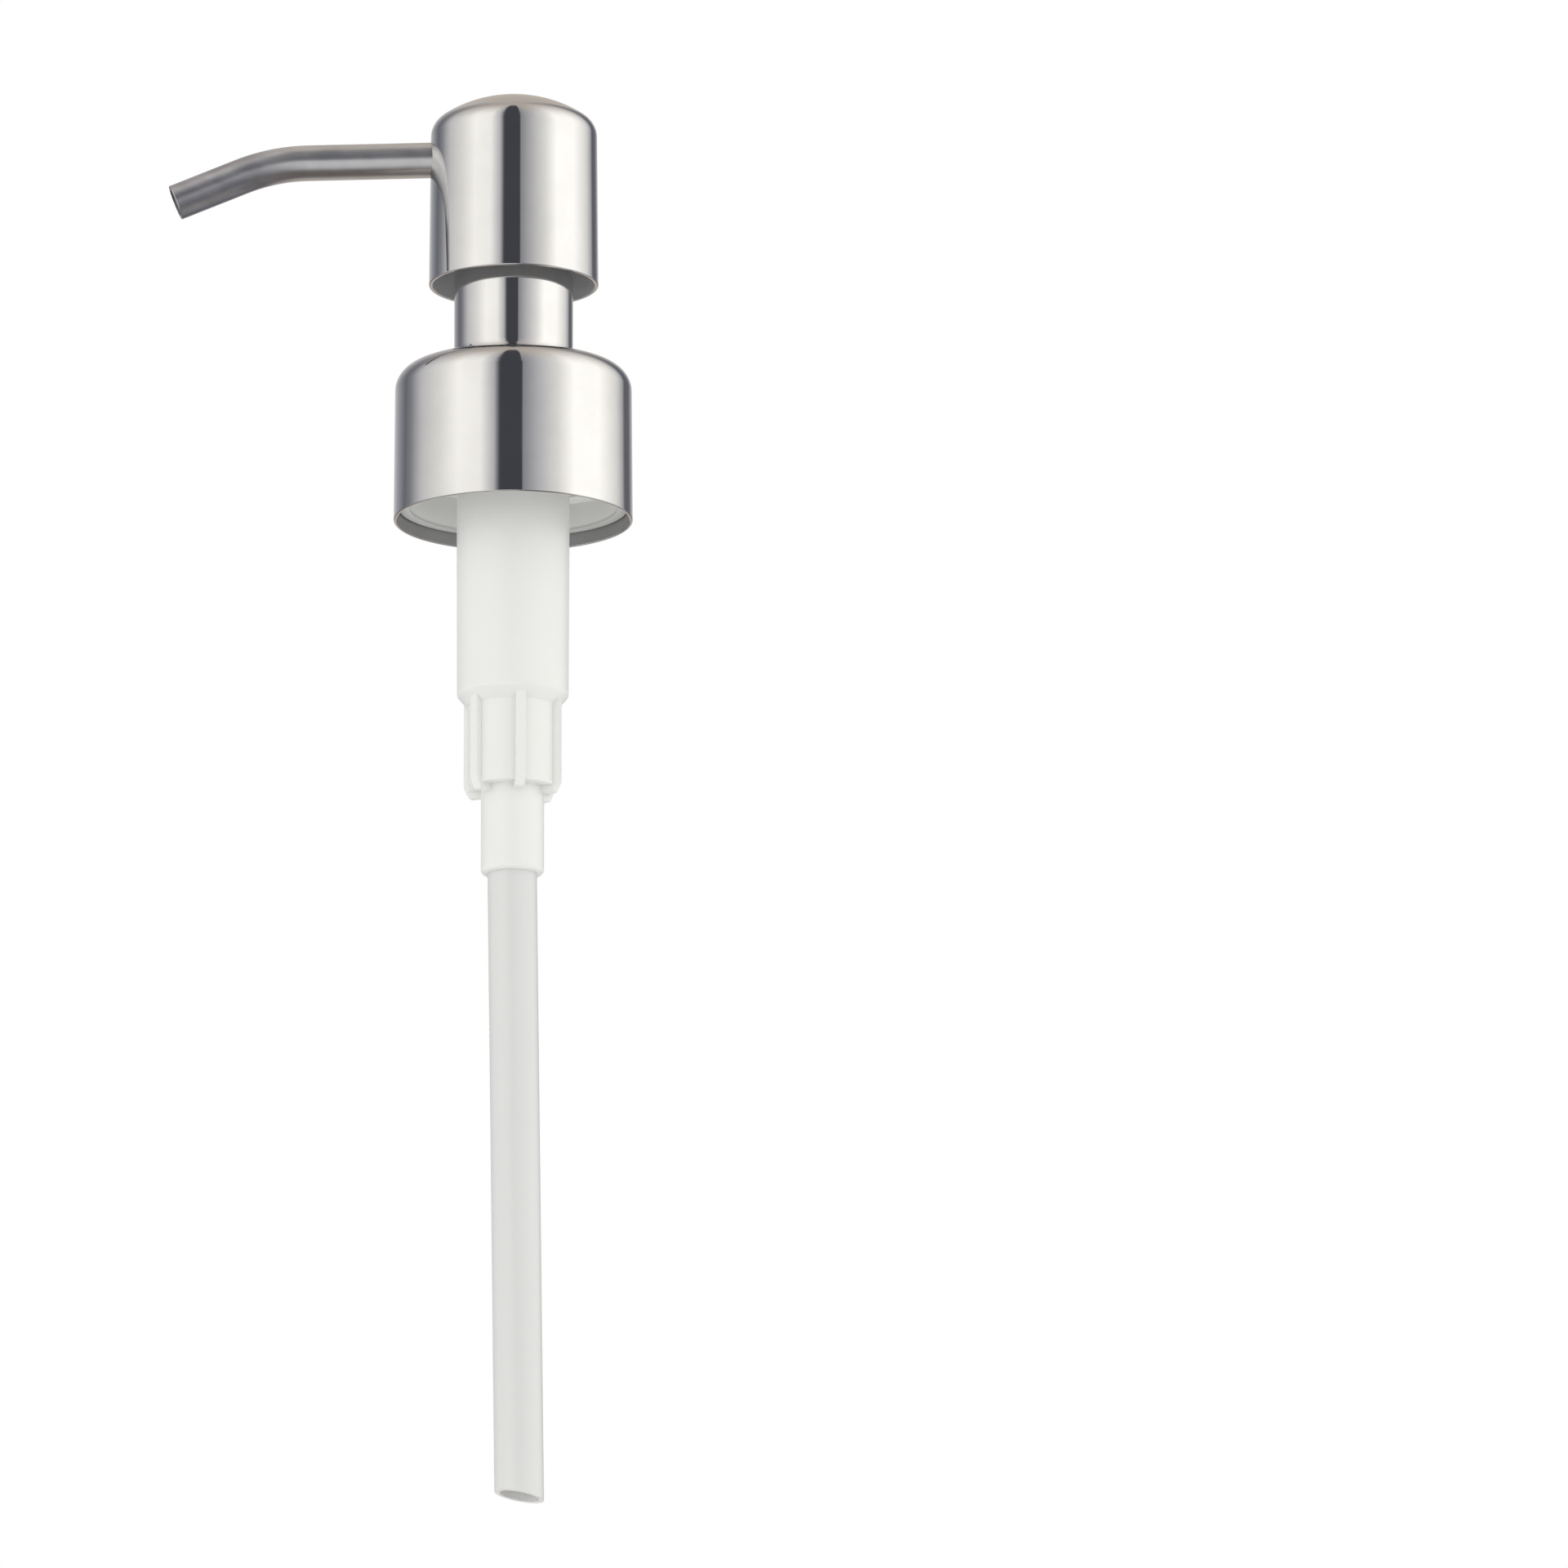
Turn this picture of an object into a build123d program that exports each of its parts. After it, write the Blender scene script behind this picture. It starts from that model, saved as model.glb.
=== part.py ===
from build123d import *
from math import cos, radians, sin, sqrt, tan
import os

# A press-down dispensing pump that screws onto a 28 mm bottle neck. Its closure, neck and head
# are covered in polished steel, and a bent steel spout leaves the head.
# Millimetres. Z runs up the pump axis, the spout points to -X, and z = 0 is the plane of the
# bottle's lip, where the neck gasket rests.

os.makedirs("parts", exist_ok=True)

# ---- closure: the screw collar on the bottle neck (28-410 finish, 6 threads per inch)
neck_pitch = 25.4 / 6
neck_thread_low_z = -10.6
neck_thread_root_r = 14.0
neck_thread_crest_r = 12.85
neck_thread_turns = 1.5
neck_thread_base = 2.4
neck_thread_land = 0.9
collar_rim_z = -16.45
collar_top_z = 4.7
collar_rim_r = 16.02
collar_shoulder_r = 15.85
collar_shoulder_fillet = 3.2
collar_steel = 0.45
closure_r = 15.35
closure_rim_z = -14.65
closure_web_z = 3.4
closure_hole_r = 8.3
closure_recess_r = 12.9
closure_recess_z = -1.0

# ---- pump cylinder
gasket_t = 1.2
gasket_r = 12.4
gasket_hole_r = 7.8
flange_r = 12.2
flange_t = 1.2
flange_top_z = gasket_t + flange_t
barrel_r = 7.62
barrel_low_r = 7.48
barrel_low_z = -40.7
bore_r = 6.4
bore_low_z = -39.2
chamber_r = 6.0
chamber_bore_r = 4.9
chamber_top_z = -42.3
chamber_low_z = -53.5
chamber_floor_z = -52.0
port_r = 1.5
port_top_z = chamber_floor_z - (3.4 - port_r)
nipple_r = 4.23
nipple_low_z = -65.3
rib_count = 6
rib_r = 6.75
rib_t = 1.3
rib_turn = -80
rib_low_z = -54.4
rib_top_z = -41.0
rib_root_r = 5.6
rib_tip_rise = 1.4
rib_tip_inset = 0.7
overlap = 0.3
vent_r = 0.6
vent_z = -7.5

# ---- dip tube
tube_r = 3.3
tube_bore_r = 2.6
tube_stop_z = -56.0
tube_end_z = -150.45
tube_lean = 0.75
tube_cut = 10.5
tube_bend_r = 120
tube_straight = 1.5

# ---- neck
neck_r = 7.97
neck_steel = 0.5
neck_top_z = 17.5
neck_foot_z = 4.95
neck_foot_r = 9.9
stub_r = neck_r - neck_steel - 0.02
stub_cavity_r = 6.2
chaplet_plug_z = -4.5
guide_top_z = -1.0
guide_step = 0.5
chaplet_flange_t = 0.8
seal_t = 1.2
seal_slope = 0.35
lock_pitch = 2.6
lock_crest_r = 5.75
lock_base = 1.3
lock_land = 0.5
stub_thread_z = 13.4

# ---- plunger
running_fit = 0.05
push_fit = 0.02
stem_r = 3.25
stem_bore_r = 2.1
stem_top_z = 31.0
stem_bell_r = 4.0
stem_bell_z = -10.0
stem_stop_r = 5.2
stem_stop_z = chaplet_plug_z - 0.15
stem_stop_t = 1.2
ball_rib_r = 1.2
ball_rib_height = 2.0
ball_rib_t = 0.6
rod_r = 2.6
rod_bore_r = 1.3
rod_top_z = -5.5
rod_low_z = -16.6
rod_flange_r = 3.5
rod_flange_t = 1.0
outlet_seat_depth = 0.8
end_play = 0.1
piston_top_z = stem_bell_z - end_play
piston_low_z = -14.1
piston_web_z = -12.6
piston_hub_r = 3.6
piston_waist_r = 6.0
piston_web_t = 1.0
lip_root_r = 5.3
lip_inner_r = 5.9
lip_land = 0.3
lip_height = 1.2

# ---- balls and spring
inlet_ball_r = 2.5
inlet_lift = 1.6
outlet_ball_r = 1.75
outlet_lift = 1.8
seat_gap = 0.05
cage_r = chamber_bore_r - 0.05
cage_bore_r = 3.4
cage_top_z = -46.0
cage_hole_r = 0.7
cage_hole_circle_r = 2.6
cage_slot_width = 1.6
cage_slot_height = 2.2
cage_foot = 1.2
cage_play = 0.05
spring_r = 4.3
spring_wire_r = 0.45
spring_turns = 9

# ---- head
head_rim_z = 16.15
head_rim_r = 11.37
head_wall_r = 11.17
head_height = 26.15
head_shoulder_fillet = 2.85
dome_r = 17.6
head_steel = 0.5
rim_round = 0.15
insert_r = 10.55
insert_crown_r = 8.2
insert_crown_drop = 2.2
insert_wall = 1.2
insert_skirt_z = 26.0
insert_web_z = 30.6
insert_top_z = head_rim_z + head_height - 4.4
hub_r = 5.55
hub_low_z = 19.0
hub_thread_z = 26.55
hub_thread_crest_r = 6.1

# ---- spout
spout_r = 2.4
spout_bore_r = 1.85
spout_root = (-4.6, 33.84)
spout_bend = (-32.37, 33.17)
spout_tip = (-45.5, 27.76)
spout_bend_r = 25.0


def ring_outline(points):
    """Closed half outline in the XZ plane, as (radius, height) points."""
    with BuildLine() as outline:
        Polyline(*points, close=True)
    make_face(outline.edges())


def radial_plane(angle):
    """Upright plane through the pump axis, whose X axis points out at `angle` degrees from +X."""
    out = (cos(radians(angle)), sin(radians(angle)), 0)
    return Plane(origin=(0, 0, 0), x_dir=out, z_dir=(out[1], -out[0], 0))


def thread_ridge(wall_r, crest_r, pitch, turns, low_z, base, land):
    """A helical thread ridge from a wall to its crest, `base` wide at the wall and `land` wide
    at the crest, set a little way into the wall."""
    root_r = wall_r + (0.25 if wall_r > crest_r else -0.25)
    path = Pos(0, 0, low_z) * Helix(pitch=pitch, height=pitch * turns, radius=root_r)
    depth = abs(crest_r - root_r)
    inward = -1 if wall_r > crest_r else 1
    section_plane = Plane(origin=path @ 0, x_dir=(inward, 0, 0), z_dir=path % 0)
    section = section_plane * make_face(
        Polyline((0, -base / 2), (depth, -land / 2), (depth, land / 2), (0, base / 2), close=True)
    )
    return sweep(section, path=path, is_frenet=True)


# ==== root body: everything that stays still on the bottle ====

# Housing: flange, barrel, sloping shoulder, valve chamber and the nipple for the dip tube
with BuildPart() as housing:
    with BuildSketch(Plane.XZ):
        ring_outline(
            [
                (0, flange_top_z),
                (flange_r, flange_top_z),
                (flange_r, gasket_t),
                (barrel_r, gasket_t),
                (barrel_low_r, barrel_low_z),
                (chamber_r, chamber_top_z),
                (chamber_r, chamber_low_z),
                (nipple_r, chamber_low_z),
                (nipple_r, nipple_low_z),
                (0, nipple_low_z),
            ]
        )
    revolve(axis=Axis.Z)
    barrel_edge = housing.edges().filter_by(GeomType.CIRCLE).filter_by_position(
        Axis.Z, barrel_low_z - 0.01, barrel_low_z + 0.01
    )
    fillet(barrel_edge, radius=0.6)
    nipple_edge = housing.edges().filter_by(GeomType.CIRCLE).sort_by(Axis.Z)[0]
    fillet(nipple_edge, radius=0.7)
    for index in range(rib_count):
        with BuildSketch(radial_plane(rib_turn + index * 360 / rib_count)):
            ring_outline(
                [
                    (rib_root_r, rib_top_z),
                    (rib_r, rib_top_z),
                    (rib_r, rib_low_z + rib_tip_rise),
                    (rib_r - rib_tip_inset, rib_low_z),
                    (nipple_r - overlap, rib_low_z),
                    (nipple_r - overlap, chamber_low_z + overlap),
                    (rib_root_r, chamber_low_z + overlap),
                ]
            )
        extrude(amount=rib_t / 2, both=True)
    # Stepped bore: cylinder, funnel, valve chamber, ball seat, inlet port and tube socket
    with BuildSketch(Plane.XZ):
        ring_outline(
            [
                (0, flange_top_z + 1),
                (bore_r, flange_top_z + 1),
                (bore_r, bore_low_z),
                (chamber_bore_r, bore_low_z - 2.5),
                (chamber_bore_r, chamber_floor_z),
                (cage_bore_r, chamber_floor_z),
                (port_r, port_top_z),
                (port_r, tube_stop_z),
                (tube_r, tube_stop_z),
                (tube_r, nipple_low_z - 1),
                (0, nipple_low_z - 1),
            ]
        )
    revolve(axis=Axis.Z, mode=Mode.SUBTRACT)
    # Vent hole that lets air back into the bottle
    with BuildSketch(Plane.XZ):
        with Locations((0, vent_z)):
            Circle(vent_r)
    extrude(amount=-(barrel_r + 1), mode=Mode.SUBTRACT)

# Dip tube: straight in the nipple, then leaning a little to one side, with a slanted end
with BuildPart() as dip_tube:
    bend_z = nipple_low_z - tube_straight
    drop = bend_z - tube_end_z + tube_r
    with BuildLine() as tube_path:
        FilletPolyline(
            (0, 0, tube_stop_z),
            (0, 0, bend_z),
            (drop * tan(radians(tube_lean)), 0, bend_z - drop),
            radius=tube_bend_r,
        )
    with BuildSketch(Plane.XY.offset(tube_stop_z)):
        Circle(tube_r)
        Circle(tube_bore_r, mode=Mode.SUBTRACT)
    sweep(path=tube_path.line)
    end_x = (bend_z - tube_end_z) * tan(radians(tube_lean))
    end_normal = (sin(radians(tube_cut)), 0, cos(radians(tube_cut)))
    split(bisect_by=Plane(origin=(end_x, 0, tube_end_z), z_dir=end_normal), keep=Keep.TOP)

# Neck gasket: flat liner that seals on the bottle's lip
with BuildPart() as neck_gasket:
    with BuildSketch(Plane.XY):
        Circle(gasket_r)
        Circle(gasket_hole_r, mode=Mode.SUBTRACT)
    extrude(amount=gasket_t)

# Chaplet: guide bush with a flange, a plug in the barrel and the threaded neck stub
stub_thread = thread_ridge(
    stub_cavity_r, lock_crest_r, lock_pitch, 1.0, stub_thread_z, lock_base, lock_land
)
with BuildPart() as chaplet:
    with BuildSketch(Plane.XZ):
        ring_outline(
            [
                (stem_r + running_fit, chaplet_plug_z),
                (bore_r - push_fit, chaplet_plug_z),
                (bore_r - push_fit, flange_top_z),
                (flange_r, flange_top_z),
                (flange_r, flange_top_z + chaplet_flange_t),
                (stub_r, flange_top_z + chaplet_flange_t),
                (stub_r, neck_top_z - overlap),
                (stub_cavity_r, neck_top_z - overlap),
                (stub_cavity_r, guide_top_z + seal_t),
                (stub_cavity_r - guide_step, guide_top_z + seal_t),
                (stub_cavity_r - guide_step, guide_top_z),
                (stem_r + running_fit, guide_top_z),
            ]
        )
    revolve(axis=Axis.Z)
    add(stub_thread)

# Stem seal: wiper ring that keeps the stem clean where it enters the chaplet
with BuildPart() as stem_seal:
    with BuildSketch(Plane.XZ):
        ring_outline(
            [
                (stem_r + running_fit + seal_slope, guide_top_z),
                (stub_cavity_r - guide_step, guide_top_z),
                (stub_cavity_r - guide_step, guide_top_z + seal_t),
                (stem_r + running_fit + seal_slope, guide_top_z + seal_t),
                (stem_r + running_fit, guide_top_z + seal_t * 0.75),
                (stem_r + running_fit, guide_top_z + seal_t * 0.6),
            ]
        )
    revolve(axis=Axis.Z)

# Neck sleeve: thin steel tube over the stub, flared outwards at its foot
with BuildPart() as neck_sleeve:
    flare = neck_foot_r - neck_r
    with BuildSketch(Plane.XZ):
        with BuildLine():
            outer = Line((neck_r, neck_top_z), (neck_r, neck_foot_z + flare))
            outer_flare = RadiusArc(outer @ 1, (neck_foot_r, neck_foot_z), -flare)
            edge = Line(outer_flare @ 1, (neck_foot_r - neck_steel, neck_foot_z))
            inner_flare = RadiusArc(
                edge @ 1, (neck_r - neck_steel, neck_foot_z + flare), flare
            )
            inner = Line(inner_flare @ 1, (neck_r - neck_steel, neck_top_z))
            Line(inner @ 1, outer @ 0)
        make_face()
    revolve(axis=Axis.Z)

# Ball cage: keeps the inlet ball near its seat and carries the spring
with BuildPart() as ball_cage:
    with BuildSketch(Plane.XY.offset(chamber_floor_z)):
        Circle(cage_r)
    extrude(amount=cage_top_z - chamber_floor_z)
    ball_low_centre_z = chamber_floor_z - cage_bore_r + inlet_ball_r * sqrt(2) + seat_gap
    cage_ceiling_z = ball_low_centre_z + inlet_ball_r + inlet_lift + cage_play
    with BuildSketch(Plane.XY.offset(chamber_floor_z)):
        Circle(cage_bore_r)
    extrude(amount=cage_ceiling_z - chamber_floor_z, mode=Mode.SUBTRACT)
    with BuildSketch(Plane.XY.offset(chamber_floor_z)):
        with PolarLocations(cage_hole_circle_r, 4, start_angle=45):
            Circle(cage_hole_r)
    extrude(amount=cage_top_z - chamber_floor_z, mode=Mode.SUBTRACT)
    with BuildSketch(Plane.XY.offset(chamber_floor_z + cage_foot)):
        with PolarLocations(cage_r, 3):
            Rectangle(cage_r, cage_slot_width)
    extrude(amount=cage_slot_height, mode=Mode.SUBTRACT)

# ==== closure body: turns freely round the pump when it is screwed on ====

# Closure insert: plastic screw cap with the bottle thread inside and a web over the flanges
neck_thread = thread_ridge(
    neck_thread_root_r,
    neck_thread_crest_r,
    neck_pitch,
    neck_thread_turns,
    neck_thread_low_z,
    neck_thread_base,
    neck_thread_land,
)
with BuildPart() as closure_insert:
    closure_top_z = collar_top_z - collar_steel
    with BuildSketch(Plane.XZ) as closure_profile:
        ring_outline(
            [
                (closure_hole_r, closure_top_z),
                (closure_r, closure_top_z),
                (closure_r, closure_rim_z),
                (neck_thread_root_r, closure_rim_z),
                (neck_thread_root_r, closure_recess_z),
                (closure_recess_r, closure_recess_z),
                (closure_recess_r, closure_web_z),
                (closure_hole_r, closure_web_z),
            ]
        )
        shoulder = closure_profile.vertices().group_by(Axis.Y)[-1].sort_by(Axis.X)[-1]
        fillet(shoulder, radius=collar_shoulder_fillet - collar_steel + 0.1)
    revolve(axis=Axis.Z)
    add(neck_thread)

# Collar shell: drawn steel cover with a rounded shoulder and a slight draft
with BuildPart() as collar_shell:
    outer_cover = (0, collar_top_z, Mode.ADD)
    inner_cover = (collar_steel, closure_top_z, Mode.SUBTRACT)
    for inset, height, mode in (outer_cover, inner_cover):
        with BuildSketch(Plane.XZ) as cover_profile:
            ring_outline(
                [
                    (0, height),
                    (collar_shoulder_r - inset, height),
                    (collar_rim_r - inset, collar_rim_z),
                    (0, collar_rim_z),
                ]
            )
            corner = cover_profile.vertices().group_by(Axis.Y)[-1].sort_by(Axis.X)[-1]
            fillet(corner, radius=collar_shoulder_fillet - inset)
        revolve(axis=Axis.Z, mode=mode)
    with BuildSketch(Plane.XY):
        Circle(closure_hole_r)
    extrude(amount=collar_top_z + 1, mode=Mode.SUBTRACT)
    rim_edges = collar_shell.edges().filter_by(GeomType.CIRCLE).group_by(Axis.Z)[0]
    fillet(rim_edges, radius=rim_round)

# ==== sliding and turning bodies ====

# Piston: soft seal with an upper and a lower lip, and a cup below for the spring
with BuildPart() as piston:
    lip_r = bore_r - running_fit
    with BuildSketch(Plane.XZ):
        ring_outline(
            [
                (rod_r + running_fit, piston_top_z),
                (piston_hub_r, piston_top_z),
                (piston_hub_r, piston_web_z + piston_web_t),
                (lip_root_r, piston_web_z + piston_web_t),
                (lip_inner_r, piston_top_z),
                (lip_r, piston_top_z),
                (lip_r, piston_top_z - lip_land),
                (piston_waist_r, piston_top_z - lip_height),
                (piston_waist_r, piston_low_z + lip_height),
                (lip_r, piston_low_z + lip_land),
                (lip_r, piston_low_z),
                (lip_inner_r, piston_low_z),
                (lip_root_r, piston_web_z),
                (piston_hub_r, piston_web_z),
                (piston_hub_r, piston_low_z),
                (rod_r + running_fit, piston_low_z),
            ]
        )
    revolve(axis=Axis.Z)

# Return spring: closed end coils joined by an even helix
with BuildPart() as return_spring:
    spring_low_z = cage_top_z + spring_wire_r
    spring_high_z = piston_web_z - spring_wire_r
    spring_length = spring_high_z - spring_low_z
    spring_path = Pos(0, 0, spring_low_z) * Helix(
        pitch=spring_length / spring_turns, height=spring_length, radius=spring_r
    )
    with BuildSketch(Plane(origin=spring_path @ 0, z_dir=spring_path % 0)):
        Circle(spring_wire_r)
    sweep(path=spring_path, is_frenet=True)
    with Locations((0, 0, spring_low_z), (0, 0, spring_high_z)):
        Torus(spring_r, spring_wire_r)

# Stem: hollow rod from the head to the piston, with a stop flange and a bell for the piston rod
with BuildPart() as stem:
    with BuildSketch(Plane.XZ):
        ring_outline(
            [
                (stem_bore_r, stem_top_z),
                (stem_r, stem_top_z),
                (stem_r, stem_stop_z),
                (stem_stop_r, stem_stop_z),
                (stem_stop_r, stem_stop_z - stem_stop_t),
                (stem_bell_r, stem_stop_z - stem_stop_t),
                (stem_bell_r, stem_bell_z),
                (rod_r, stem_bell_z),
                (rod_r, rod_top_z),
                (stem_bore_r, rod_top_z),
            ]
        )
    revolve(axis=Axis.Z)
    # Three small ribs in the bore stop the outlet ball at the top of its travel
    outlet_seat_z = rod_top_z - outlet_seat_depth
    outlet_ball_z = outlet_seat_z - rod_bore_r + outlet_ball_r * sqrt(2) + seat_gap
    ball_stop_z = outlet_ball_z + outlet_ball_r + outlet_lift
    for index in range(3):
        with BuildSketch(radial_plane(index * 120)):
            ring_outline(
                [
                    (ball_rib_r, ball_stop_z),
                    (stem_bore_r + overlap, ball_stop_z),
                    (stem_bore_r + overlap, ball_stop_z + ball_rib_height),
                    (ball_rib_r, ball_stop_z + ball_rib_height),
                ]
            )
        extrude(amount=ball_rib_t / 2, both=True)

# Piston rod: hollow lower stem, with the outlet seat on top and a flange under the piston
with BuildPart() as piston_rod:
    with BuildSketch(Plane.XZ):
        ring_outline(
            [
                (rod_bore_r + outlet_seat_depth, rod_top_z),
                (rod_r, rod_top_z),
                (rod_r, piston_low_z - end_play),
                (rod_flange_r, piston_low_z - end_play),
                (rod_flange_r, piston_low_z - end_play - rod_flange_t),
                (rod_r, rod_low_z),
                (rod_bore_r, rod_low_z),
                (rod_bore_r, outlet_seat_z),
            ]
        )
    revolve(axis=Axis.Z)

# Head shell: drawn steel cap; a large dome runs into the rounded shoulder, then the wall
with BuildPart() as head_shell:
    dome_centre_z = head_rim_z + head_height - dome_r
    shoulder_x = head_wall_r - head_shoulder_fillet
    shoulder_z = dome_centre_z + sqrt((dome_r - head_shoulder_fillet) ** 2 - shoulder_x**2)
    tangent = Vector(shoulder_x, shoulder_z - dome_centre_z).normalized()
    for inset, mode in ((0, Mode.ADD), (head_steel, Mode.SUBTRACT)):
        dome = dome_r - inset
        with BuildSketch(Plane.XZ):
            with BuildLine():
                wall = Line((head_rim_r - inset, head_rim_z), (head_wall_r - inset, shoulder_z))
                meet = (tangent.X * dome, dome_centre_z + tangent.Y * dome)
                shoulder_arc = RadiusArc(wall @ 1, meet, -(head_shoulder_fillet - inset))
                dome_arc = RadiusArc(meet, (0, dome_centre_z + dome), -dome)
                Polyline(dome_arc @ 1, (0, head_rim_z), wall @ 0)
            make_face()
        revolve(axis=Axis.Z, mode=mode)
    head_rim_edges = head_shell.edges().filter_by(GeomType.CIRCLE).group_by(Axis.Z)[0]
    fillet(head_rim_edges, radius=rim_round)

# Spout path: a straight run out of the head, one bend, and a straight end that slopes down
spout_points = [(spout_root[0], 0, spout_root[1]), (spout_bend[0], 0, spout_bend[1])]
spout_points.append((spout_tip[0], 0, spout_tip[1]))
spout_path = FilletPolyline(*spout_points, radius=spout_bend_r)
spout_plane = Plane(origin=spout_path @ 0, z_dir=spout_path % 0)

# Spout tube
with BuildPart() as spout_tube:
    with BuildSketch(spout_plane):
        Circle(spout_r)
        Circle(spout_bore_r, mode=Mode.SUBTRACT)
    sweep(path=spout_path)
    tip_edges = spout_tube.edges().filter_by(GeomType.CIRCLE).group_by(Axis.X)[0]
    fillet(tip_edges, radius=0.12)

# The shell's hole for the spout
with BuildPart(mode=Mode.PRIVATE) as spout_clearance:
    with BuildSketch(spout_plane):
        Circle(spout_r + push_fit)
    extrude(amount=head_wall_r)
head_shell.part = head_shell.part - spout_clearance.part

# Head insert: plastic core with the stem socket, the outlet channel and the lock thread
hub_thread = thread_ridge(
    hub_r, hub_thread_crest_r, lock_pitch, 1.0, hub_thread_z, lock_base, lock_land
)
with BuildPart() as head_insert:
    with BuildSketch(Plane.XZ):
        ring_outline(
            [
                (0, insert_top_z),
                (insert_crown_r, insert_top_z),
                (insert_r, insert_top_z - insert_crown_drop),
                (insert_r, insert_skirt_z),
                (insert_r - insert_wall, insert_skirt_z),
                (insert_r - insert_wall, insert_web_z),
                (hub_r, insert_web_z),
                (hub_r, hub_low_z),
                (0, hub_low_z),
            ]
        )
    revolve(axis=Axis.Z)
    add(hub_thread)
    with BuildSketch(Plane.XY.offset(hub_low_z)):
        Circle(stem_r)
    extrude(amount=stem_top_z - hub_low_z, mode=Mode.SUBTRACT)
    with BuildSketch(Plane.XY.offset(hub_low_z)):
        Circle(stem_bore_r)
    extrude(amount=spout_root[1] - hub_low_z + spout_bore_r, mode=Mode.SUBTRACT)
    with BuildSketch(spout_plane):
        Circle(spout_r)
    extrude(amount=insert_r, mode=Mode.SUBTRACT)
    with BuildSketch(spout_plane):
        Circle(spout_bore_r)
    extrude(amount=spout_root[0], mode=Mode.SUBTRACT)

# ==== loose balls ====

# Inlet ball, resting on the conical seat under the valve chamber
with BuildPart() as inlet_ball:
    inlet_ball_z = chamber_floor_z - cage_bore_r + inlet_ball_r * sqrt(2) + seat_gap
    with Locations((0, 0, inlet_ball_z)):
        Sphere(inlet_ball_r)

# Outlet ball, resting on the seat at the top of the piston rod
with BuildPart() as outlet_ball:
    with Locations((0, 0, outlet_ball_z)):
        Sphere(outlet_ball_r)

# ==== labels and files ====
pieces = {
    "housing": housing,
    "dip_tube": dip_tube,
    "neck_gasket": neck_gasket,
    "chaplet": chaplet,
    "stem_seal": stem_seal,
    "neck_sleeve": neck_sleeve,
    "ball_cage": ball_cage,
    "closure_insert": closure_insert,
    "collar_shell": collar_shell,
    "piston": piston,
    "return_spring": return_spring,
    "stem": stem,
    "piston_rod": piston_rod,
    "head_shell": head_shell,
    "spout_tube": spout_tube,
    "head_insert": head_insert,
    "inlet_ball": inlet_ball,
    "outlet_ball": outlet_ball,
}
for name, piece in pieces.items():
    piece.part.label = name
    export_step(piece.part, f"parts/{name}.step")
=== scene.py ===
"""Looks of the bottle pump dispenser: polished steel, moulded white plastic, a translucent dip
tube and a plain studio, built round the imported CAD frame. Metres, in the frame of the part."""

from math import cos, pi, radians, sin

import bmesh
import bpy
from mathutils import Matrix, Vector


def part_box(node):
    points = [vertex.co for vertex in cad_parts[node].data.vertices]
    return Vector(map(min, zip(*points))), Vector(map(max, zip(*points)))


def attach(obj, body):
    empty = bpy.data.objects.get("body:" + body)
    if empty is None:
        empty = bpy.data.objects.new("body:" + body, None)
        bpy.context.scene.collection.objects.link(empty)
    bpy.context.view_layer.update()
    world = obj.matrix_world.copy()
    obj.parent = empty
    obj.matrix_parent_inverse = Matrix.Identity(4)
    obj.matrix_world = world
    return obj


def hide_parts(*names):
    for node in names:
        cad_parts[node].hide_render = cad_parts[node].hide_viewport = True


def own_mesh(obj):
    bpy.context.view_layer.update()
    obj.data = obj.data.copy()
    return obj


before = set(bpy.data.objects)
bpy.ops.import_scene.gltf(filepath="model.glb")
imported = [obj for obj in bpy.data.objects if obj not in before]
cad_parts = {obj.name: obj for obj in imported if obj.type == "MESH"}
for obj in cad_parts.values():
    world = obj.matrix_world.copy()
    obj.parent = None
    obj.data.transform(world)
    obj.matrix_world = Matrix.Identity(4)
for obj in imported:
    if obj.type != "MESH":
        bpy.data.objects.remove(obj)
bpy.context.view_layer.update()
MM = 0.001

# ---- camera: a long lens, in front of the part and below it, looking up
CAMERA_DISTANCE = 4.0
CAMERA_ELEVATION = -14.2
CAMERA_AIM = Vector((36.3 * MM, 0, -52.8 * MM))
CAMERA_FIELD = 209.7 * MM
CAMERA_SENSOR = 36.0
CAMERA_CLIP_START = 0.05
CAMERA_CLIP_END = 100

# ---- floor: far below, so that it is out of the way when the part is seen from underneath
FLOOR_Z = -4.6
FLOOR_SIZE = 53.0
FLOOR_CLOUDS = 1.7
FLOOR_TONES = ((0.91, 0.91, 0.905), (0.93, 0.93, 0.925))
FLOOR_ROUGHNESS = 0.9
FLOOR_GLOW = 0.34

# ---- studio: bearings are in degrees to the right of the camera's side, heights in degrees
# above level. Each pair named EDGE, SPLIT, LEFT, RIGHT or TOP is where a soft edge begins and ends.
# Brightness of the walls by bearing, above and below the level of the part.
WALLS_HIGH = [
    (-180, 0.80),
    (-150, 0.42),
    (-130, 0.20),
    (-118, 0.32),
    (-100, 0.76),
    (-75, 1.05),
    (-55, 1.38),
    (-32, 1.30),
    (-21, 0.78),
    (-12, 0.40),
    (0, 0.34),
    (10, 0.36),
    (30, 0.76),
    (45, 1.05),
    (62, 1.55),
    (92, 1.55),
    (120, 1.0),
    (133, 0.55),
    (139, 0.17),
    (152, 0.17),
    (165, 0.5),
    (180, 0.80),
]
WALLS_LOW = [
    (-180, 0.20),
    (-135, 0.20),
    (-100, 0.60),
    (-55, 1.10),
    (-20, 0.90),
    (2, 0.84),
    (14, 0.17),
    (45, 0.17),
    (75, 1.10),
    (120, 0.80),
    (145, 0.20),
    (180, 0.20),
]
WALL_SPLIT = (-6, 12)
COOL_TINT = (0.92, 0.96, 1.14)
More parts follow.
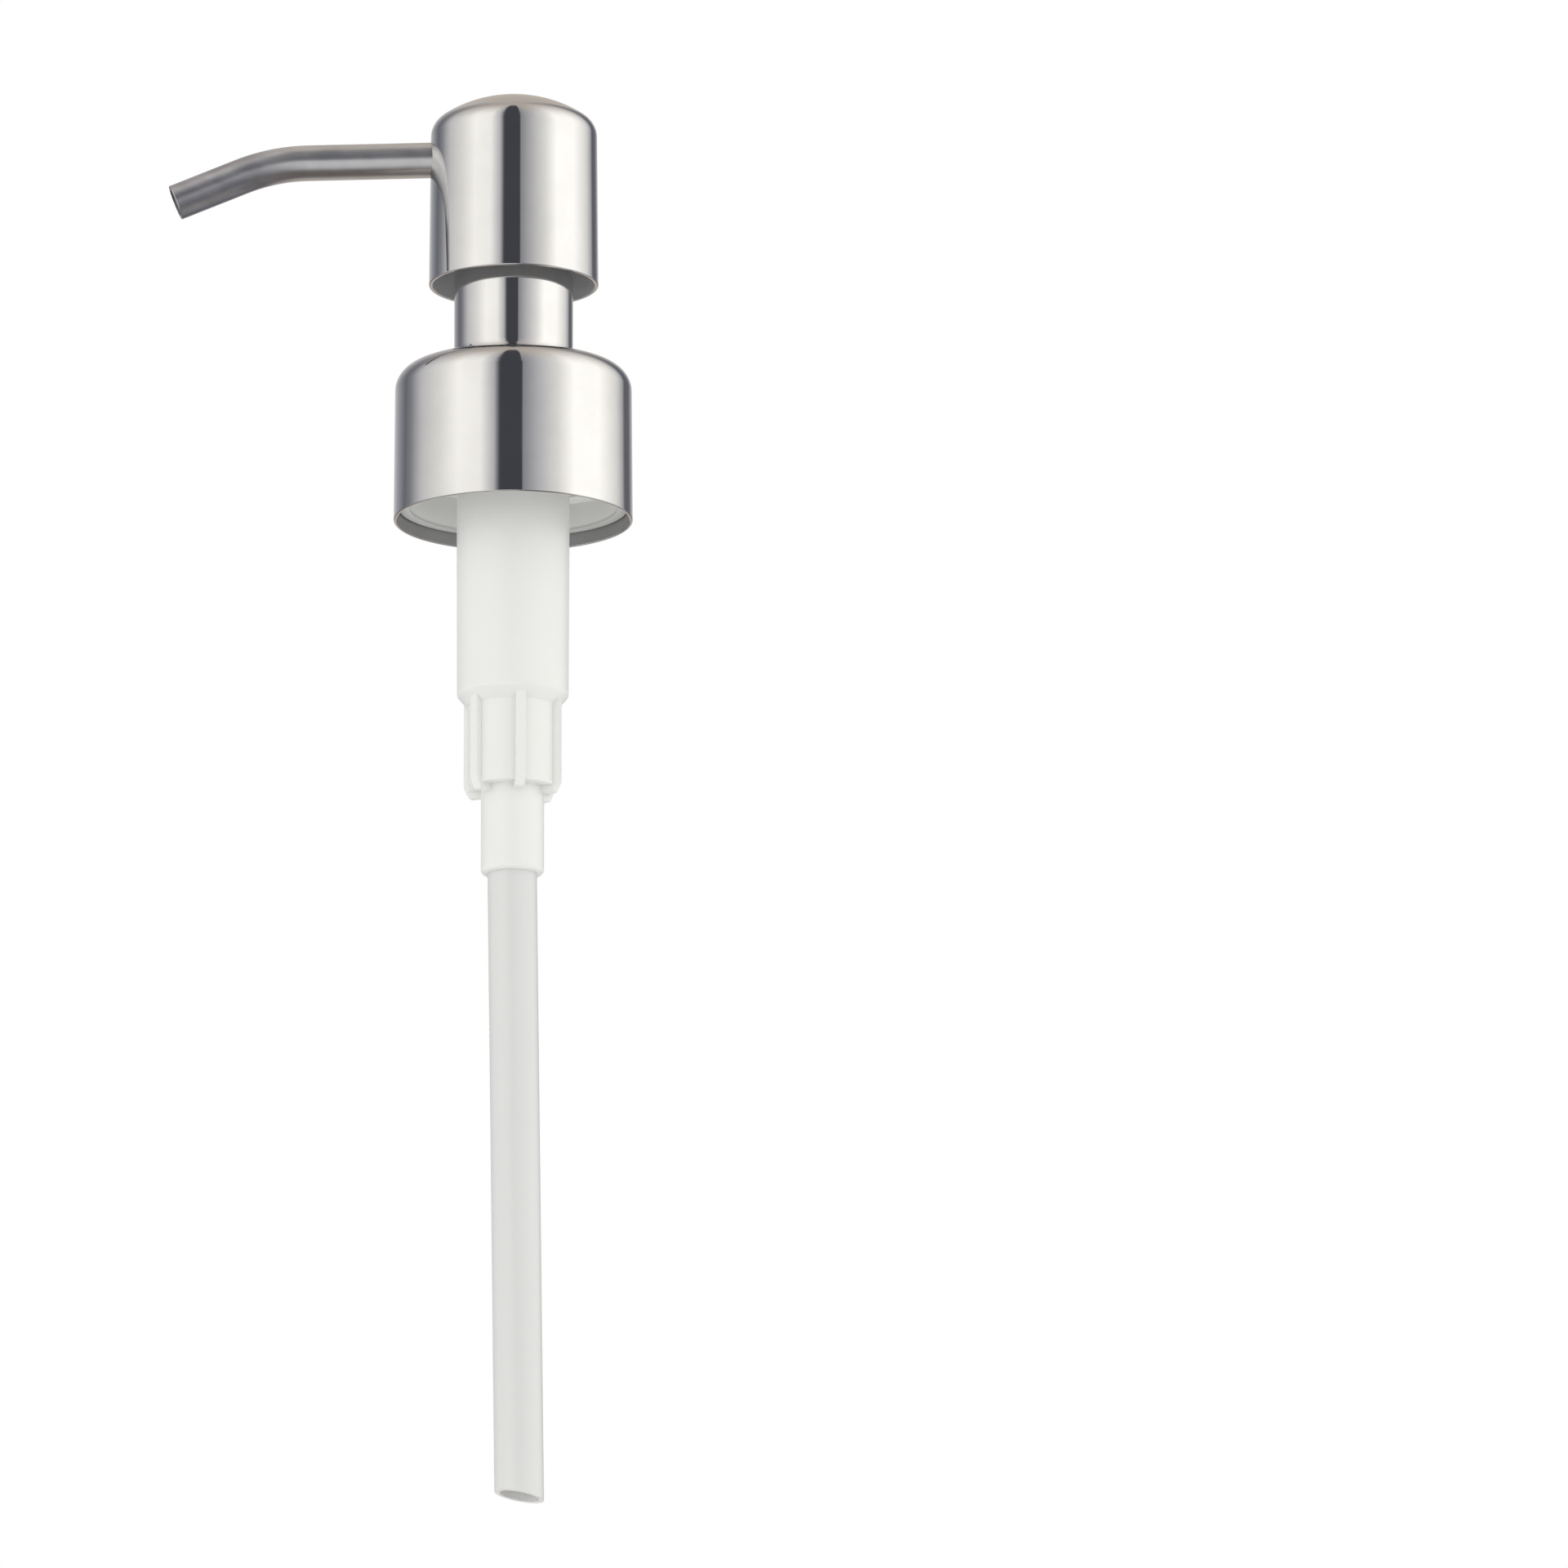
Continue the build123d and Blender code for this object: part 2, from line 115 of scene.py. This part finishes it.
WARM_TINT = (1.012, 1.0, 0.972)
# The narrow dark gap between the two soft boxes in front, where the lens looks through
GAP = (0.075, 0.078, 0.092)
GAP_LEFT = (-19, -11.5)
GAP_RIGHT = (8.5, 10)
GAP_TOP = (70, 88)
# A warm grey ceiling that comes down behind the part, and a dark table below
CEILING = (0.60, 0.54, 0.49)
CEILING_EDGE = (20, 90)
BACK_EDGE = (164, 174)
GROUND = (0.17, 0.145, 0.135)
GROUND_EDGE = (-72, -42)
# Softer light for matt surfaces, from above, from the walls and from below
FILL_TOP = (0.38, 0.385, 0.39)
FILL_TOP_EDGE = (10, 80)
FILL_WALLS = [
    (-180, 0.80),
    (-140, 0.95),
    (-85, 1.48),
    (-50, 1.40),
    (0, 0.98),
    (50, 1.28),
    (85, 1.34),
    (140, 0.90),
    (180, 0.80),
]
FILL_LOW = (0.98, 0.98, 0.97)
FILL_LOW_EDGE = (-70, -5)
BACKDROP = (1, 1, 1)

# ---- materials: texture scales are per metre, RELIEF is a height in metres, and each pair of
# tones or of roughness values is the two ends that the texture moves between
# Nearly all of a noise texture's values lie in its span, and most of them in its middle
NOISE_SPAN = (0.2, 0.8)
NOISE_MIDDLE = (0.3, 0.7)

STEEL_TONES = ((0.62, 0.612, 0.60), (0.65, 0.642, 0.63))
STEEL_RINGS = (40, 40, 9000)
STEEL_SMUDGES = 160.0
STEEL_ROUGHNESS = 0.03
STEEL_SMUDGED = 0.03
STEEL_RELIEF = 0.0000004
INSIDE_ROUGHER = 0.42
INSIDE_SHADE = 0.92
# The inside begins this far in from the outer face, and below the rounded shoulder
STEEL_MARGIN = 0.4 * MM
HEAD_SHOULDER = 5.0 * MM
HEAD_INSIDE = (0.76, 0.765, 0.79)
HEAD_INSIDE_METAL = 0.05
COLLAR_SHOULDER = 3.3 * MM
NECK_INSIDE_R = 7.7 * MM
NECK_INSIDE_TOP = 20 * MM
DARK_INSIDE = (0.34, 0.34, 0.345)
DARK_INSIDE_METAL = 0.45

SPOUT_BEND_X = (-36 * MM, -29 * MM)
SPOUT_CLOUDS = (260, 500, 500)
SPOUT_LINES = (400, 7000, 7000)
SPOUT_STRAIGHT_TONES = ((0.61, 0.615, 0.625), (0.70, 0.70, 0.70))
# Painted reflection: the outer stretch's tones are darker and bluer, standing in for the dim
# blue-grey surroundings it reflects
SPOUT_BENT_PAINTED_REFLECTION_TONES = ((0.44, 0.44, 0.465), (0.56, 0.56, 0.585))
SPOUT_ROUGHNESS = 0.283
SPOUT_CLOUDED = 0.02
SPOUT_BENT_ROUGHER = 0.05

PLASTIC_CLOUDS = 120.0
PLASTIC_GRAIN = 4000.0
PLASTIC_RELIEF = 0.000001
PLASTIC_IOR = 1.49
PLASTIC_GLOSS_SPREAD = 0.02
PLASTIC_GLOW_COLOURS = (1.0, 0.95, 0.9)
PLASTIC_GLOW_DEPTH = 0.0012
PUMP_TONES = ((0.785, 0.79, 0.775), (0.81, 0.815, 0.80))
PUMP_ROUGHNESS = 0.32
PUMP_GLOW = 0.1
CLOSURE_TONES = ((0.88, 0.885, 0.87), (0.90, 0.905, 0.89))
CLOSURE_ROUGHNESS = 0.36
CLOSURE_GLOW = 0.1
SEAL_TONES = ((0.66, 0.68, 0.68), (0.72, 0.74, 0.74))
SEAL_ROUGHNESS = 0.46
SEAL_GLOW = 0.35
# Painted shade on the closure's open end: within this height of its lowest face, fading over the
# edge width, its colour is darkened to stand in for the shadow that falls there
SHADED_END_HEIGHT = 0.2 * MM
SHADED_END_EDGE = 0.3 * MM
PAINTED_SHADE_FACTOR = 0.70

TUBE_TONES = ((0.79, 0.795, 0.80), (0.85, 0.855, 0.84))
TUBE_LINES = (500, 500, 6)
TUBE_ROUGHNESS = (0.20, 0.26)
TUBE_CLARITY = 0.18
TUBE_IOR = 1.45
TUBE_RELIEF = 0.000002

FOAM_TONES = ((0.70, 0.70, 0.68), (0.80, 0.80, 0.78))
FOAM_CELLS = 4500.0
FOAM_CELL_SPAN = (0.0, 0.8)
FOAM_CLOUDS = 400.0
FOAM_ROUGHNESS = (0.75, 0.95)
FOAM_RELIEF = 0.00004

WIRE_TONES = ((0.40, 0.40, 0.40), (0.60, 0.595, 0.585))
WIRE_OIL = 700.0
WIRE_LINES = (600, 600, 9000)
WIRE_ROUGHNESS = (0.30, 0.42)
WIRE_RELIEF = 0.000003

BALL_TONES = ((0.66, 0.655, 0.65), (0.58, 0.575, 0.57))
BALL_MARKS = 1200.0
BALL_MARK_EDGE = (0.45, 0.62)
BALL_ROUGHNESS = 0.06
BALL_RUBBED = 0.16
BALL_RELIEF = 0.000001

# ---- return spring: round wire, free turns between two closed end turns
SPRING_WIRE = 0.45 * MM
SPRING_TURNS = 9
SPRING_STEPS_PER_TURN = 48
WIRE_SIDES = 12


# ==== small helpers for node trees ====


class Nodes:
    """Adds nodes to a tree and links them, so that a material reads from top to bottom."""

    def __init__(self, tree):
        self.tree = tree

    def add(self, kind, inputs=None, **settings):
        made = self.tree.nodes.new(kind)
        for name, value in settings.items():
            setattr(made, name, value)
        for name, value in (inputs or {}).items():
            self.set(made, name, value)
        return made

    def set(self, target, name, value):
        socket = target.inputs[name]
        if isinstance(value, bpy.types.NodeSocket):
            self.tree.links.new(value, socket)
        else:
            socket.default_value = value

    def math(self, operation, *values):
        made = self.add("ShaderNodeMath", operation=operation)
        for index, value in enumerate(values):
            self.set(made, index, value)
        return made.outputs[0]

    def smooth(self, value, low, high, to_low=0.0, to_high=1.0):
        """Soft step from to_low to to_high while the value goes from low to high."""
        made = self.add("ShaderNodeMapRange", interpolation_type="SMOOTHSTEP")
        for name, number in (("Value", value), ("From Min", low), ("From Max", high)):
            self.set(made, name, number)
        self.set(made, "To Min", to_low)
        self.set(made, "To Max", to_high)
        return made.outputs[0]

    def mix(self, factor, a, b):
        """Blend from colour a to colour b. Each is a socket, or red, green and blue."""
        made = self.add("ShaderNodeMix", data_type="RGBA")
        self.set(made, 0, factor)
        for index, colour in ((6, a), (7, b)):
            linked = isinstance(colour, bpy.types.NodeSocket)
            self.set(made, index, colour if linked else (*colour, 1))
        return made.outputs[2]

    def ramp(self, factor, stops):
        made = self.add("ShaderNodeValToRGB", {"Fac": factor})
        elements = made.color_ramp.elements
        while len(elements) < len(stops):
            elements.new(1.0)
        for element, (position, colour) in zip(elements, stops):
            element.position = position
            element.color = (*colour, 1.0)
        return made.outputs["Color"]

    def noise(self, vector, scale, detail=2.0, roughness=0.5):
        inputs = {"Vector": vector, "Scale": scale, "Detail": detail, "Roughness": roughness}
        return self.add("ShaderNodeTexNoise", inputs).outputs["Fac"]

    def streaks(self, vector, scale, detail=2.0, roughness=0.5):
        """Noise drawn out into lines: scale has one number for each axis."""
        stretched = self.add("ShaderNodeMapping", {"Vector": vector, "Scale": scale})
        return self.noise(stretched.outputs["Vector"], 1.0, detail, roughness)

    def bump(self, height, distance):
        inputs = {"Height": height, "Distance": distance, "Strength": 1.0}
        return self.add("ShaderNodeBump", inputs).outputs["Normal"]


def new_material(name):
    material = bpy.data.materials.new(name)
    material.use_nodes = True
    nodes = Nodes(material.node_tree)
    surface = material.node_tree.nodes["Principled BSDF"]
    place = nodes.add("ShaderNodeTexCoord").outputs["Object"]
    return material, nodes, surface, place


# ==== camera and studio ====


def make_camera():
    data = bpy.data.cameras.new("camera")
    data.sensor_width = CAMERA_SENSOR
    data.lens = CAMERA_SENSOR * CAMERA_DISTANCE / CAMERA_FIELD
    data.clip_start = CAMERA_CLIP_START
    data.clip_end = CAMERA_CLIP_END
    camera = bpy.data.objects.new("camera", data)
    up = radians(CAMERA_ELEVATION)
    back = Vector((0, -cos(up), sin(up)))
    camera.location = CAMERA_AIM + back * CAMERA_DISTANCE
    camera.rotation_mode = "QUATERNION"
    camera.rotation_quaternion = (-back).to_track_quat("-Z", "Y")
    bpy.context.scene.collection.objects.link(camera)
    bpy.context.scene.camera = camera


def wall_stops(walls):
    """Colour stops of a wall: the dark parts a little cool, the soft boxes a little warm."""
    stops = []
    for bearing, brightness in walls:
        warmth = min(1.0, brightness)
        tint = [c + (w - c) * warmth for c, w in zip(COOL_TINT, WARM_TINT)]
        stops.append(((bearing + 180) / 360, tuple(brightness * t for t in tint)))
    return stops


def make_world():
    """A light tent: soft boxes round the part, a warm grey ceiling and a darker table below.
    The camera itself sees plain white behind the part."""
    world = bpy.data.worlds.new("studio")
    bpy.context.scene.world = world
    world.use_nodes = True
    nodes = Nodes(world.node_tree)
    background = world.node_tree.nodes["Background"]
    direction = nodes.add("ShaderNodeTexCoord").outputs["Generated"]
    axes = nodes.add("ShaderNodeSeparateXYZ", {0: direction}).outputs
    turn = nodes.math("ARCTAN2", axes["X"], nodes.math("MULTIPLY", axes["Y"], -1.0))
    around = nodes.math("MULTIPLY_ADD", turn, 0.5 / pi, 0.5)
    bearing = nodes.math("MULTIPLY", turn, 180 / pi)
    height = nodes.math("MULTIPLY", nodes.math("ARCSINE", axes["Z"]), 180 / pi)

    high = nodes.ramp(around, wall_stops(WALLS_HIGH))
    low = nodes.ramp(around, wall_stops(WALLS_LOW))
    upper_half = nodes.smooth(height, *WALL_SPLIT)
    walls = nodes.mix(upper_half, low, high)
    behind = nodes.smooth(nodes.math("ABSOLUTE", bearing), *BACK_EDGE)
    overhead = nodes.math("MAXIMUM", behind, nodes.smooth(height, *CEILING_EDGE))
    above = nodes.mix(overhead, walls, CEILING)

    past_left = nodes.smooth(bearing, *GAP_LEFT)
    before_right = nodes.smooth(bearing, *GAP_RIGHT, 1.0, 0.0)
    below_top = nodes.smooth(height, *GAP_TOP, 1.0, 0.0)
    in_gap = nodes.math("MULTIPLY", nodes.math("MULTIPLY", past_left, before_right), below_top)
    in_gap = nodes.math("MULTIPLY", in_gap, upper_half)
    above = nodes.mix(in_gap, above, GAP)
    tent = nodes.mix(nodes.smooth(height, *GROUND_EDGE), GROUND, above)

    side = nodes.ramp(around, wall_stops(FILL_WALLS))
    upper = nodes.mix(nodes.smooth(height, *FILL_TOP_EDGE), side, FILL_TOP)
    fill = nodes.mix(nodes.smooth(height, *FILL_LOW_EDGE), FILL_LOW, upper)

    rays = nodes.add("ShaderNodeLightPath").outputs
    lit = nodes.mix(rays["Is Diffuse Ray"], tent, fill)
    seen = nodes.math("MAXIMUM", rays["Is Camera Ray"], rays["Is Transmission Ray"])
    nodes.set(background, "Color", nodes.mix(seen, lit, BACKDROP))
    bpy.context.scene.view_settings.view_transform = "Standard"


def make_floor():
    """Plain pale floor. Steel reflects the tent instead, so the floor is left out of gloss rays."""
    mesh = bpy.data.meshes.new("floor")
    grid = bmesh.new()
    bmesh.ops.create_grid(grid, x_segments=1, y_segments=1, size=FLOOR_SIZE / 2)
    grid.to_mesh(mesh)
    grid.free()
    floor = bpy.data.objects.new("floor", mesh)
    floor.location.z = FLOOR_Z
    bpy.context.scene.collection.objects.link(floor)
    material, nodes, surface, place = new_material("pale_floor")
    clouds = nodes.noise(place, FLOOR_CLOUDS)
    nodes.set(surface, "Base Color", nodes.mix(clouds, *FLOOR_TONES))
    surface.inputs["Roughness"].default_value = FLOOR_ROUGHNESS
    surface.inputs["Emission Color"].default_value = (1, 1, 1, 1)
    surface.inputs["Emission Strength"].default_value = FLOOR_GLOW
    mesh.materials.append(material)
    floor.visible_glossy = False


# ==== materials ====


def steel_material(name, inner_r, inner_top, inner_tone, inner_metal):
    """Drawn steel polished to a mirror: faint rings from polishing, a few smudges. The inside,
    within inner_r of the axis and below inner_top, is left dull as it came from the press."""
    material, nodes, surface, place = new_material(name)
    rings = nodes.streaks(place, STEEL_RINGS, detail=4.0, roughness=0.6)
    blotches = nodes.noise(place, STEEL_SMUDGES, detail=4.0, roughness=0.6)
    smudges = nodes.smooth(blotches, *NOISE_MIDDLE)
    axes = nodes.add("ShaderNodeSeparateXYZ", {0: place}).outputs
    flat = nodes.add("ShaderNodeCombineXYZ", {"X": axes["X"], "Y": axes["Y"]}).outputs[0]
    length = nodes.add("ShaderNodeVectorMath", {0: flat}, operation="LENGTH")
    within = nodes.math("LESS_THAN", length.outputs["Value"], inner_r)
    below = nodes.math("LESS_THAN", axes["Z"], inner_top)
    inside = nodes.math("MULTIPLY", within, below)
    polished = nodes.mix(smudges, *STEEL_TONES)
    inner_shade = tuple(INSIDE_SHADE * c for c in inner_tone)
    dull = nodes.mix(smudges, inner_shade, inner_tone)
    nodes.set(surface, "Base Color", nodes.mix(inside, polished, dull))
    nodes.set(surface, "Metallic", nodes.math("MULTIPLY_ADD", inside, inner_metal - 1.0, 1.0))
    gloss = nodes.math("MULTIPLY_ADD", smudges, STEEL_SMUDGED, STEEL_ROUGHNESS)
    nodes.set(surface, "Roughness", nodes.math("MULTIPLY_ADD", inside, INSIDE_ROUGHER, gloss))
    nodes.set(surface, "Normal", nodes.bump(rings, STEEL_RELIEF))
    return material


def spout_material():
    """The bent tube is polished less: satin, a little clouded, with faint lines along it. The
    outer stretch, which was worked in the bender, is rougher, and its colour is painted darker and
    bluer: a painted reflection of the dim blue-grey surroundings it faces."""
    material, nodes, surface, place = new_material("satin_steel")
    clouds = nodes.smooth(nodes.streaks(place, SPOUT_CLOUDS), *NOISE_MIDDLE)
    lines = nodes.streaks(place, SPOUT_LINES)
    along = nodes.add("ShaderNodeSeparateXYZ", {0: place}).outputs["X"]
    bent = nodes.smooth(along, *SPOUT_BEND_X, 1.0, 0.0)
    straight_tone = nodes.mix(clouds, *SPOUT_STRAIGHT_TONES)
    # Painted reflection: the outer stretch gets darker, bluer tones to stand in for the blue-grey
    # it reflects; its extra roughness is a real finish difference
    bent_painted_reflection = nodes.mix(clouds, *SPOUT_BENT_PAINTED_REFLECTION_TONES)
    nodes.set(surface, "Base Color", nodes.mix(bent, straight_tone, bent_painted_reflection))
    surface.inputs["Metallic"].default_value = 1.0
    gloss = nodes.math("MULTIPLY_ADD", clouds, SPOUT_CLOUDED, SPOUT_ROUGHNESS)
    nodes.set(surface, "Roughness", nodes.math("MULTIPLY_ADD", bent, SPOUT_BENT_ROUGHER, gloss))
    nodes.set(surface, "Normal", nodes.bump(lines, STEEL_RELIEF))
    return material


def plastic_material(name, tones, roughness, glow, shaded_end_z=None):
    """Moulded satin plastic: fine mould texture, slight tone and gloss changes, and light that
    glows a little way into it. Below the given height the open end gets painted shade: its colour
    is darkened to stand in for the shadow there."""
    material, nodes, surface, place = new_material(name)
    clouds = nodes.noise(place, PLASTIC_CLOUDS)
    grain = nodes.noise(place, PLASTIC_GRAIN)
    tone = nodes.mix(clouds, *tones)
    if shaded_end_z is not None:
        # Painted shade: below the given height the open end's colour is darkened, standing in for
        # the shadow it lies in
        height = nodes.add("ShaderNodeSeparateXYZ", {0: place}).outputs["Z"]
        painted_shade = nodes.smooth(height, shaded_end_z, shaded_end_z + SHADED_END_EDGE, 1.0, 0.0)
        tone = nodes.mix(painted_shade, tone, tuple(PAINTED_SHADE_FACTOR * c for c in tones[0]))
    nodes.set(surface, "Base Color", tone)
    smoothest = roughness - PLASTIC_GLOSS_SPREAD
    roughest = roughness + PLASTIC_GLOSS_SPREAD
    nodes.set(surface, "Roughness", nodes.smooth(clouds, *NOISE_SPAN, smoothest, roughest))
    surface.inputs["Subsurface Weight"].default_value = glow
    surface.inputs["Subsurface Radius"].default_value = PLASTIC_GLOW_COLOURS
    surface.inputs["Subsurface Scale"].default_value = PLASTIC_GLOW_DEPTH
    surface.inputs["IOR"].default_value = PLASTIC_IOR
    nodes.set(surface, "Normal", nodes.bump(grain, PLASTIC_RELIEF))
    return material


def tube_material():
    """Translucent extruded tube, with faint lines along it from the die."""
    material, nodes, surface, place = new_material("tube_plastic_look")
    lines = nodes.streaks(place, TUBE_LINES, detail=1.0)
    nodes.set(surface, "Base Color", nodes.mix(lines, *TUBE_TONES))
    nodes.set(surface, "Roughness", nodes.smooth(lines, *NOISE_SPAN, *TUBE_ROUGHNESS))
    surface.inputs["Transmission Weight"].default_value = TUBE_CLARITY
    surface.inputs["IOR"].default_value = TUBE_IOR
    nodes.set(surface, "Normal", nodes.bump(lines, TUBE_RELIEF))
    return material


def foam_material():
    """Pressed foam liner: matt, with fine open cells."""
    material, nodes, surface, place = new_material("gasket_foam_look")
    voronoi = nodes.add("ShaderNodeTexVoronoi", {"Vector": place, "Scale": FOAM_CELLS})
    cells = voronoi.outputs["Distance"]
    clouds = nodes.noise(place, FOAM_CLOUDS, detail=3.0, roughness=0.6)
    nodes.set(surface, "Base Color", nodes.mix(clouds, *FOAM_TONES))
    nodes.set(surface, "Roughness", nodes.smooth(cells, *FOAM_CELL_SPAN, *FOAM_ROUGHNESS))
    nodes.set(surface, "Normal", nodes.bump(cells, FOAM_RELIEF))
    return material


def wire_material():
    """Drawn spring wire: dull steel with lines and darker patches of oil."""
    material, nodes, surface, place = new_material("spring_wire_look")
    oil = nodes.noise(place, WIRE_OIL, detail=4.0, roughness=0.6)
    lines = nodes.streaks(place, WIRE_LINES, detail=3.0, roughness=0.6)
    nodes.set(surface, "Base Color", nodes.mix(oil, *WIRE_TONES))
    surface.inputs["Metallic"].default_value = 1.0
    nodes.set(surface, "Roughness", nodes.smooth(oil, *NOISE_SPAN, *WIRE_ROUGHNESS))
    nodes.set(surface, "Normal", nodes.bump(lines, WIRE_RELIEF))
    return material


def ball_material():
    """Ground and polished check ball, with a few rubbed marks."""
    material, nodes, surface, place = new_material("ball_steel_look")
    marks = nodes.noise(place, BALL_MARKS, detail=4.0, roughness=0.65)
    rubbed = nodes.smooth(marks, *BALL_MARK_EDGE)
    nodes.set(surface, "Base Color", nodes.mix(rubbed, *BALL_TONES))
    surface.inputs["Metallic"].default_value = 1.0
    gloss = nodes.math("MULTIPLY_ADD", rubbed, BALL_RUBBED, BALL_ROUGHNESS)
    nodes.set(surface, "Roughness", gloss)
    nodes.set(surface, "Normal", nodes.bump(marks, BALL_RELIEF))
    return material


# ==== pieces ====


def spring_centre_line(low_z, high_z):
    """Angle and height of each step along the wire: one closed turn, the free turns, one closed
    turn. In a closed turn the wire rises by its own thickness."""
    first_z = low_z + SPRING_WIRE
    last_z = high_z - SPRING_WIRE
    closed = 2 * SPRING_WIRE
    free_rise = last_z - first_z - 2 * closed
    steps = (SPRING_TURNS + 2) * SPRING_STEPS_PER_TURN
    line = []
    for step in range(steps + 1):
        turn = step / SPRING_STEPS_PER_TURN
        free = min(max(turn - 1, 0), SPRING_TURNS) / SPRING_TURNS
        in_closed = min(turn, 1) + max(turn - 1 - SPRING_TURNS, 0)
        line.append((2 * pi * turn, first_z + closed * in_closed + free * free_rise))
    return line


def spring_mesh(line, coil_r):
    """Round wire along the line, with flat ends."""
    points = []
    for angle, z in line:
        for k in range(WIRE_SIDES):
            side = 2 * pi * k / WIRE_SIDES
            r = coil_r + SPRING_WIRE * cos(side)
            points.append((r * cos(angle), r * sin(angle), z + SPRING_WIRE * sin(side)))
    faces = []
    for ring in range(len(line) - 1):
        for k in range(WIRE_SIDES):
            a = ring * WIRE_SIDES + k
            b = ring * WIRE_SIDES + (k + 1) % WIRE_SIDES
            faces.append((a, a + WIRE_SIDES, b + WIRE_SIDES, b))
    faces.append(tuple(range(WIRE_SIDES)))
    last = (len(line) - 1) * WIRE_SIDES
    faces.append(tuple(reversed(range(last, last + WIRE_SIDES))))
    mesh = bpy.data.meshes.new("coil_spring")
    mesh.from_pydata(points, [], faces)
    mesh.update()
    for face in mesh.polygons[:-2]:
        face.use_smooth = True
    return mesh


def make_spring():
    """Return spring of round wire with closed end coils."""
    low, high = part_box("return_spring")
    mesh = spring_mesh(spring_centre_line(low.z, high.z), high.x - SPRING_WIRE)
    mesh.materials.append(wire_material())
    spring = bpy.data.objects.new("coil_spring", mesh)
    bpy.context.scene.collection.objects.link(spring)
    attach(spring, "root")
    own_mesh(spring)
    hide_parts("return_spring")


def assign(material, *names):
    for name in names:
        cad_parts[name].data.materials[0] = material


def finish_steel():
    """Cap, collar cover, neck sleeve, spout and check balls."""
    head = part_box("head_shell")[1]
    head_r = head.y - STEEL_MARGIN
    head_top = head.z - HEAD_SHOULDER
    head_steel = steel_material("head_steel", head_r, head_top, HEAD_INSIDE, HEAD_INSIDE_METAL)
    assign(head_steel, "head_shell")
    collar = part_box("collar_shell")[1]
    collar_r = collar.y - STEEL_MARGIN
    collar_top = collar.z - COLLAR_SHOULDER
    dark = (DARK_INSIDE, DARK_INSIDE_METAL)
    assign(steel_material("collar_steel", collar_r, collar_top, *dark), "collar_shell")
    neck_steel = steel_material("neck_steel", NECK_INSIDE_R, NECK_INSIDE_TOP, *dark)
    assign(neck_steel, "neck_sleeve")
    assign(spout_material(), "spout_tube")
    assign(ball_material(), "inlet_ball", "outlet_ball")


def finish_plastic():
    """Pump, closure, seals, gasket and dip tube."""
    pump = plastic_material("pump_plastic_look", PUMP_TONES, PUMP_ROUGHNESS, PUMP_GLOW)
    assign(pump, "housing", "chaplet", "ball_cage", "stem", "piston_rod")
    # Height below which the closure's open end gets painted shade
    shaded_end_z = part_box("closure_insert")[0].z + SHADED_END_HEIGHT
    closure = plastic_material(
        "closure_plastic_look", CLOSURE_TONES, CLOSURE_ROUGHNESS, CLOSURE_GLOW, shaded_end_z
    )
    assign(closure, "closure_insert", "head_insert")
    seal = plastic_material("seal_plastic_look", SEAL_TONES, SEAL_ROUGHNESS, SEAL_GLOW)
    assign(seal, "piston", "stem_seal")
    assign(foam_material(), "neck_gasket")
    assign(tube_material(), "dip_tube")


make_camera()
make_world()
make_floor()
finish_steel()
finish_plastic()
make_spring()
